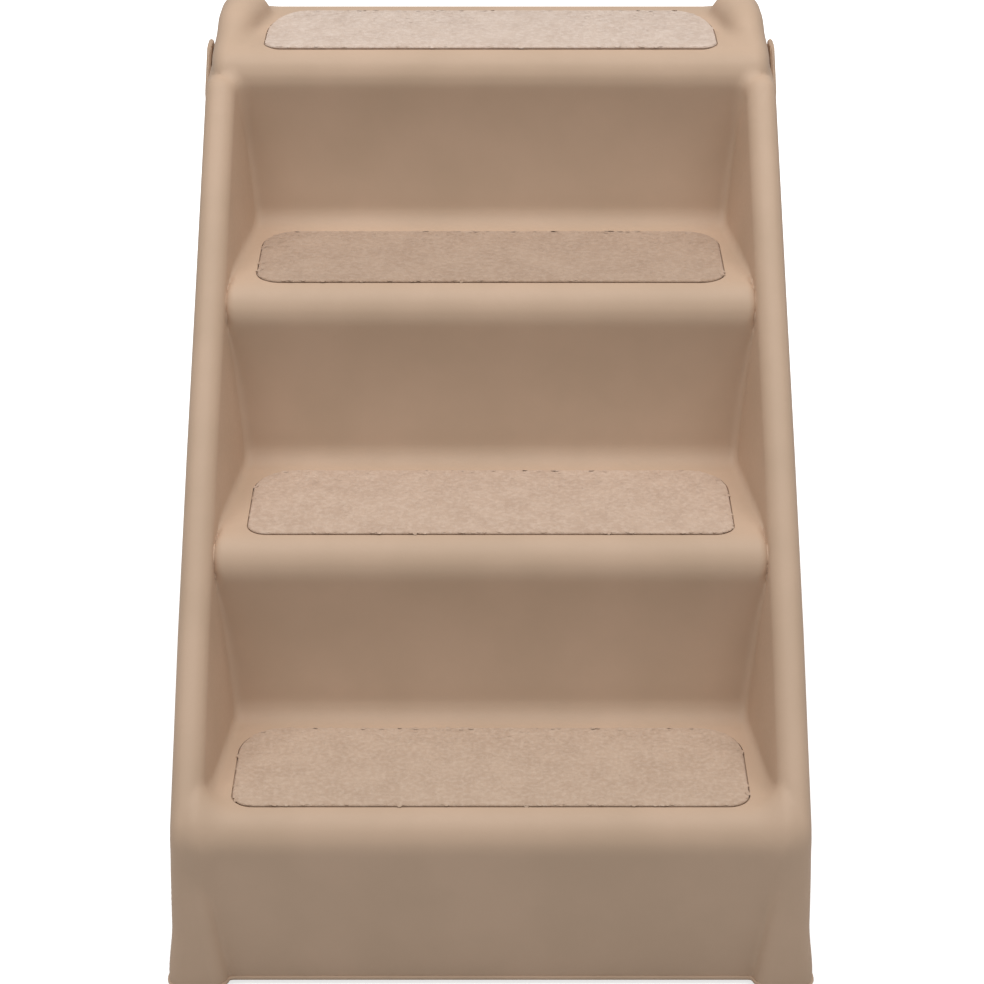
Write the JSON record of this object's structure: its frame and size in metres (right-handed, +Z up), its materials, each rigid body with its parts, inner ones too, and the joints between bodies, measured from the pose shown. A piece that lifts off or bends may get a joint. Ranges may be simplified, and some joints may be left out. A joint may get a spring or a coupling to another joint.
{
  "type": "folding pet stairs",
  "caption": "Folding moulded plastic pet stairs with rounded rails, carpeted treads, a platform with raised shoulders and two side panels that fold flat beneath.",
  "frame": {"origin": "centre of the footprint on the floor, standing open", "axes": "+Z up, climbing towards +Y, +X to the right of someone who looks up the stairs"},
  "size_m": [0.416, 0.599, 0.504],
  "materials": {
    "tan_plastic": "satin",
    "carpet_pile": "cut pile",
    "pin_steel": "zinc plated",
    "foot_rubber": "matt"
  },
  "bodies": {
    "stairs": {"stair_body": "tan_plastic", "first_step_carpet": "carpet_pile", "second_step_carpet": "carpet_pile", "third_step_carpet": "carpet_pile", "platform_carpet": "carpet_pile", "left_pillar_rubber_foot": "foot_rubber", "right_pillar_rubber_foot": "foot_rubber", "left_hinge_pins": "pin_steel", "left_pin_retainers": "pin_steel", "right_hinge_pins": "pin_steel", "right_pin_retainers": "pin_steel"},
    "left_panel": {"left_side_panel": "tan_plastic", "left_front_rubber_foot": "foot_rubber", "left_rear_rubber_foot": "foot_rubber"},
    "right_panel": {"right_side_panel": "tan_plastic", "right_front_rubber_foot": "foot_rubber", "right_rear_rubber_foot": "foot_rubber"}
  },
  "joints": [
    {"name": "left_panel_fold", "type": "hinge", "parent": "stairs", "child": "left_panel", "pos_m": [-0.1966, 0.01281, 0.24726], "axis": [0, -0.7572, -0.6532], "range_deg": [0, 90]},
    {"name": "right_panel_fold", "type": "hinge", "parent": "stairs", "child": "right_panel", "pos_m": [0.1966, 0.02456, 0.23363], "axis": [0, 0.7572, 0.6532], "range_deg": [0, 90]}
  ]
}
